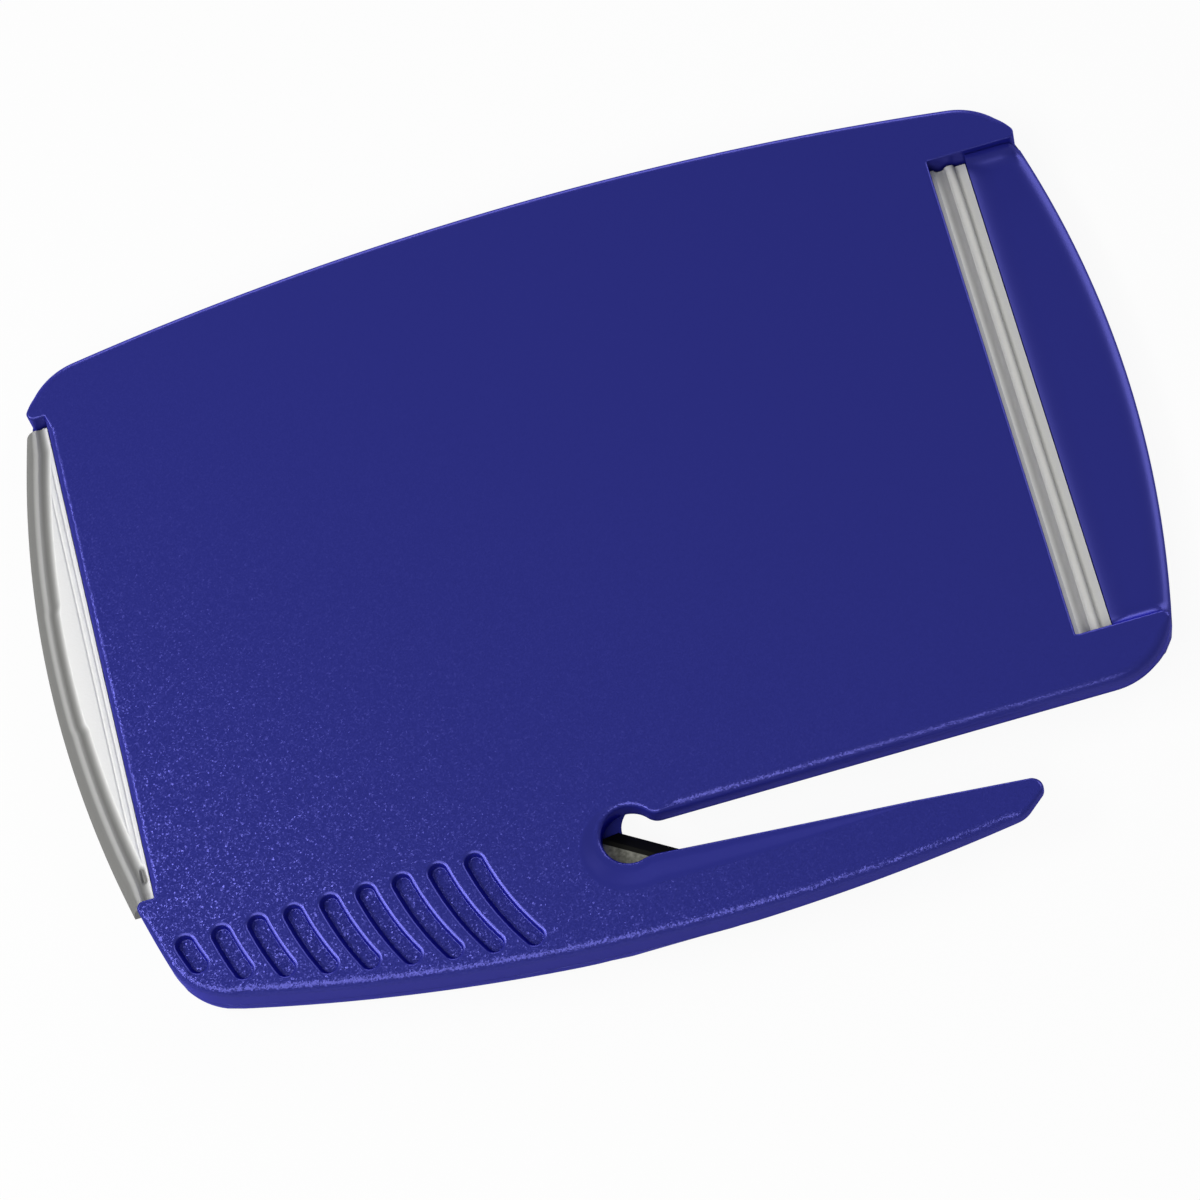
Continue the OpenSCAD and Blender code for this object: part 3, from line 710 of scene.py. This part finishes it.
face = add(tree, "ShaderNodeMix", {"data_type": "RGBA", colour_a: srgb("7e7e76"), colour_b: srgb("b4b4a8")},
           {0: patch.outputs[0]})
# Painted shade: the bevel's strip takes a nearly black colour over the ground face's grey
tint = add(tree, "ShaderNodeMix", {"data_type": "RGBA", colour_a: srgb("2a2a28")},
           {0: bevel_shade.outputs[0], colour_b: face.outputs[colour_out]})
tree.links.new(tint.outputs[colour_out], shader.inputs["Base Color"])
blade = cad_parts["slitter_blade"]
blade.data.materials.clear()
blade.data.materials.append(steel)

# Card tray: one frosted polypropylene moulding that slides in the pocket. A floor with a slot for the
# stop, a crescent front with a rounded nose, and a bar at the back with a cove and a bead for the thumb.
tray_low, tray_high = node_box("card_tray")
tray_half = tray_high[1]
tray_floor_z = tray_low[2]
tray_top = tray_high[2]
well_z = 2.1
lip_z = 3.3
well_front = -48.3
well_back = 41.2
bar_overlap = 0.12
front_proud = 0.65
roof_gap = 0.2
bar_back = tray_high[0] + bar_overlap
front_outer = end_radius + front_proud
front_inner = roof_front - roof_gap

# Crescent front, as a height over the plan: a nose with a bead and a hollow, then a flat with two fine
# lines and a small catch. The nose is a little narrower in the middle, which leaves a shallow nick.
nose_width = 2.9
nose_share = 0.3
nick_half = 6.9
nick_soft = 1.0
nick_depth = 0.22
bead_share = 0.55
bead_z = tray_top - 0.3
hollow_depth = 0.22
line_places = (0.4, 1.0)
line_depth = 0.08
line_width = 0.09
line_soft = 0.3
catch_x, catch_y = front_inner - 0.5, -22.6
catch_half_x, catch_half_y = 0.4, 1.0
catch_soft_x, catch_soft_y = 0.3, 0.5
catch_depth = 0.3
lip_sink = 0.01
end_round = 0.3
across = np.linspace(-tray_half, tray_half, 241)
nose_u = nose_share * (1 - np.cos(np.linspace(0, math.pi / 2, 25)))
flat_u = np.linspace(nose_share, 1, 101)[1:]
u, y = np.meshgrid(np.concatenate([nose_u, flat_u]), across, indexing="ij")
outer_x = front_c[0] - np.sqrt(front_outer**2 - y**2)
nose_x = front_c[0] - np.sqrt((front_outer - nose_width) ** 2 - y**2)
nick = fade(nick_half - np.abs(y), 0, nick_soft)
nose = np.minimum(nose_x, front_inner - seam) - outer_x - nick_depth * nick
x = outer_x + u * (front_inner - outer_x)
t = (x - outer_x) / nose
hollow = np.clip((t - bead_share) / (1 - bead_share), 0, 1)
bead = np.sqrt(1 - np.clip(1 - t / bead_share, 0, 1) ** 2)
height = tray_floor_z + (bead_z - tray_floor_z) * bead
height += (tray_top - bead_z) * hollow**2 - hollow_depth * np.sin(math.pi * hollow)
for line in line_places:
    groove = np.exp(-(((front_inner - x - line) / line_width) ** 2))
    height -= line_depth * groove * fade(x - outer_x - nose, 0, line_soft)
catch = fade(catch_half_x - np.abs(x - catch_x), 0, catch_soft_x)
catch *= fade(catch_half_y - np.abs(y - catch_y), 0, catch_soft_y)
height -= catch_depth * catch
end_gap = np.clip(tray_half - np.abs(y), 0, end_round)
height = np.minimum(height, tray_top - end_round + np.sqrt(end_round**2 - (end_round - end_gap) ** 2))
bottom = np.where(x > well_front, lip_z - lip_sink, tray_floor_z)
tray_points, tray_faces = slab(x, y, np.maximum(height, bottom), bottom)
tray_faces = tray_faces.tolist()

# Rear bar: lip, cove, bead and ledge, carried across the tray
bead_radius = 0.55
lip_x = roof_back - 0.3
cove_x = roof_back + 1
bead_x = roof_back + 1.95
lip_top = tray_top - 0.1
ledge_z = tray_top - bead_radius
x, y = np.meshgrid(
    np.linspace(lip_x, bar_back, 121), np.linspace(-tray_half, tray_half, 41), indexing="ij")
cove = np.sqrt(np.clip(bead_radius**2 - (x - cove_x) ** 2, 0, None))
bead = np.sqrt(np.clip(bead_radius**2 - (x - bead_x) ** 2, 0, None))
height = np.where(x < bead_x, lip_top - cove, ledge_z)
height = np.maximum(height, np.where(np.abs(x - bead_x) < bead_radius, ledge_z + bead, 0))
points, faces = slab(x, y, height, np.where(x < well_back, lip_z, tray_floor_z))
tray_faces += (faces + len(tray_points)).tolist()
tray_points = np.concatenate([tray_points, points])

# Floor of the tray, with the slot that the stop runs in
stop_radius = 1.5
tray_travel = 62
stop_front = -43.3
stop_back = stop_front + tray_travel
floor_corner = 0.5
floor_step = 2
floor_y = tray_half - floor_corner
plate = outline([
    (np.array([bar_back - floor_corner, -floor_y]), floor_corner, -90, 0),
    (np.array([bar_back - floor_corner, floor_y]), floor_corner, 0, 90),
    (np.array([well_front - floor_corner, floor_y]), floor_corner, 90, 180),
    (np.array([well_front - floor_corner, -floor_y]), floor_corner, 180, 270)], floor_step)[0]
slot = outline([
    (np.array([stop_back, 0]), stop_radius, -90, 90),
    (np.array([stop_front, 0]), stop_radius, 90, 270)], floor_step)[0]
loops = [np.column_stack([loop, np.full(len(loop), level)])
         for loop in (plate, slot) for level in (tray_floor_z, well_z)]
plate_first = len(tray_points)
slot_first = plate_first + 2 * len(plate)
tray_points = np.concatenate([tray_points] + loops)
tray_faces += ring_faces(2, len(plate), plate_first)
tray_faces += [quad[::-1] for quad in ring_faces(2, len(slot), slot_first)]
lid = np.array(tessellate_polygon([loops[0].tolist(), loops[2].tolist()]))
lid_below = np.concatenate([plate_first + np.arange(len(plate)), slot_first + np.arange(len(slot))])
lid_above = lid_below + np.concatenate([np.full(len(plate), len(plate)), np.full(len(slot), len(slot))])
tray_faces += lid_above[lid].tolist()
tray_faces += lid_below[lid[:, ::-1]].tolist()
tray = make_piece("frosted_tray", tray_points, tray_faces)
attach(tray, "tray")
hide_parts("card_tray")

# Moulded polypropylene, frosted, with light and shade painted into its colour: the front is painted darker
# the lower its surface lies, as painted shade on the nose and in its hollow, and the bar is painted in
# bands, with a painted highlight on the lip and painted shade in the cove, on the bead and on the ledge.
# A fine bump scatters the light. The frost is drawn coarser than it is, 0.3 mm wide.
frost_size = 0.3
frost_depth = 0.05
# Heights between which the front's painted shade goes from dark to light
nose_shade_z, flat_lit_z = 3.45, 3.88
plate_end = lip_x - 0.2
# Painted highlight and shade across the bar: light on the lip, darker in the cove, on the bead and beyond
bar_light_and_shade_bands = (
    (lip_x, "eeeeec"), (cove_x - 0.4, "e6e6e4"), (cove_x, "c8c8c4"), (bead_x, "b6b6b3"),
    (bead_x + 0.7, "aeaeaa"))
frosted, tree, shader = new_finish("frosted_polypropylene", {"Roughness": 0.55})
place = add(tree, "ShaderNodeTexCoord")
axes = add(tree, "ShaderNodeSeparateXYZ", {}, {"Vector": place.outputs["Object"]})
# Painted shade on the front: darker the lower the surface lies
level = add(tree, "ShaderNodeMapRange", {"From Min": nose_shade_z * MM, "From Max": flat_lit_z * MM},
            {"Value": axes.outputs["Z"]})
front_painted_shade = add(tree, "ShaderNodeMix", {
    "data_type": "RGBA", colour_a: srgb("646462"), colour_b: srgb("cccccb")}, {0: level.outputs[0]})
# Painted light and shade across the bar, in bands from the lip to its back
along_bar = add(tree, "ShaderNodeMapRange", {"From Min": plate_end * MM, "From Max": bar_back * MM},
                {"Value": axes.outputs["X"]})
bar_painted_light_and_shade = add(tree, "ShaderNodeValToRGB", {}, {"Fac": along_bar.outputs[0]})
bar_painted_light_and_shade.color_ramp.elements[0].color = srgb("a6a6a3")
bar_painted_light_and_shade.color_ramp.elements[1].color = srgb("b8b8b4")
for bar_x, shade in bar_light_and_shade_bands:
    stop = bar_painted_light_and_shade.color_ramp.elements.new((bar_x - plate_end) / (bar_back - plate_end))
    stop.color = srgb(shade)
behind = add(tree, "ShaderNodeMath", {"operation": "GREATER_THAN", 1: (front_inner + margin) * MM},
             {0: axes.outputs["X"]})
either = add(tree, "ShaderNodeMix", {"data_type": "RGBA"}, {
    0: behind.outputs[0], colour_a: front_painted_shade.outputs[colour_out], colour_b: bar_painted_light_and_shade.outputs["Color"]})
tree.links.new(either.outputs[colour_out], shader.inputs["Base Color"])
frost = add(tree, "ShaderNodeTexNoise", {"Scale": 1 / (frost_size * MM), "Detail": 3},
            {"Vector": place.outputs["Object"]})
frost_bump = add(tree, "ShaderNodeBump", {"Strength": 0.35, "Distance": frost_depth * MM},
                 {"Height": frost.outputs[0]})
tree.links.new(frost_bump.outputs[0], shader.inputs["Normal"])
tray.data.materials.append(frosted)

# Floor: a wide sheet of white paper under the slitter. The camera sees it nearly white, with the object's
# shadow left on it, and reflections see a little of that white.
floor_half = 1000 * MM
seen_white = 0.93
mirrored_white = 0.15
floor_mesh = bpy.data.meshes.new("floor")
floor_mesh.from_pydata([
    (-floor_half, -floor_half, 0), (floor_half, -floor_half, 0),
    (floor_half, floor_half, 0), (-floor_half, floor_half, 0)], [], [(0, 1, 2, 3)])
floor = bpy.data.objects.new("floor", floor_mesh)
bpy.context.scene.collection.objects.link(floor)
paper, tree, shader = new_finish("white_paper", {"Base Color": srgb("c4c4c4"), "Roughness": 0.9})
rays = add(tree, "ShaderNodeLightPath")
glow = add(tree, "ShaderNodeEmission", {"Color": srgb("ffffff"), "Strength": 1.0})
mirrored = add(tree, "ShaderNodeMath", {"operation": "MAXIMUM"},
               {0: rays.outputs["Is Glossy Ray"], 1: rays.outputs["Is Transmission Ray"]})
faint = add(tree, "ShaderNodeMath", {"operation": "MULTIPLY", 1: mirrored_white}, {0: mirrored.outputs[0]})
strong = add(tree, "ShaderNodeMath", {"operation": "MULTIPLY_ADD", 1: seen_white},
             {0: rays.outputs["Is Camera Ray"], 2: faint.outputs[0]})
mixed = add(tree, "ShaderNodeMixShader", {},
            {0: strong.outputs[0], 1: shader.outputs[0], 2: glow.outputs[0]})
tree.links.new(mixed.outputs[0], tree.nodes["Material Output"].inputs["Surface"])
floor.data.materials.append(paper)

# Light: a pale room that is dimmer overhead, and four large softboxes. The front and left ones draw the
# bright lines along the rounded edges and the groove rims, the right and back ones fill.
side_light, overhead_light, overhead = 0.45, 0.15, 0.6
world = bpy.data.worlds.new("soft_room")
bpy.context.scene.world = world
world.use_nodes = True
tree = world.node_tree
way = add(tree, "ShaderNodeTexCoord")
way_up = add(tree, "ShaderNodeSeparateXYZ", {}, {"Vector": way.outputs["Generated"]})
dim = add(tree, "ShaderNodeMapRange", {
    "From Min": 0, "From Max": overhead, "To Min": side_light, "To Max": overhead_light},
    {"Value": way_up.outputs["Z"]})
tree.links.new(dim.outputs[0], tree.nodes["Background"].inputs["Strength"])
tree.nodes["Background"].inputs["Color"].default_value = srgb("ffffff")


def softbox(name, place, width, height, power):
    """Area lamp at a place in millimetres, turned to face the object."""
    data = bpy.data.lights.new(name, "AREA")
    data.shape = "RECTANGLE"
    data.size = width * MM
    data.size_y = height * MM
    data.energy = power
    lamp = bpy.data.objects.new(name, data)
    lamp.location = Vector(place) * MM
    lamp.rotation_euler = (-Vector(place)).to_track_quat("-Z", "Y").to_euler()
    bpy.context.scene.collection.objects.link(lamp)


softbox("front_softbox", (-138, -215, 330), 360, 220, 1.3)
softbox("left_softbox", (-330, 60, 345), 320, 110, 1.5)
softbox("right_softbox", (530, 305, 250), 460, 400, 2.0)
softbox("back_softbox", (0, 630, 120), 400, 220, 1.2)

bpy.context.scene.view_settings.view_transform = "Standard"
